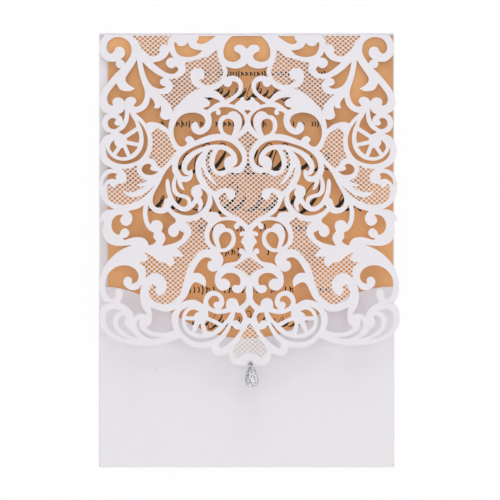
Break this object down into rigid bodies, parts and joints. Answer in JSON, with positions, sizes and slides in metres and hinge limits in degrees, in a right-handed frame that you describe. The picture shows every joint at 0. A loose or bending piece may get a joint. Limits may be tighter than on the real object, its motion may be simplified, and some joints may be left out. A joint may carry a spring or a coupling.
{
  "type": "invitation card",
  "caption": "Pocket invitation card lying on its back: a folded pearl sheet with a side-glued pocket, a cut lace flap with a drop gem at its tip, and a card inserted behind the flap.",
  "frame": {"origin": "middle of the back panel's underside, which is the face the card lies on", "axes": "+X to the right across the card, +Y up the card towards the fold that carries the lace flap, +Z out of the back towards the flap"},
  "size_m": [0.1264, 0.184, 0.0138],
  "materials": {
    "pearl_paper": "pearl white with a soft sheen",
    "gold_paper": "light copper gold with a fine metallic sheen and dark printed marks",
    "silver_gem": "silver-backed, faceted and sparkling"
  },
  "bodies": {
    "root": {"wrap": "pearl_paper", "insert_card": "gold_paper", "drop_gem": "silver_gem"}
  },
  "joints": []
}
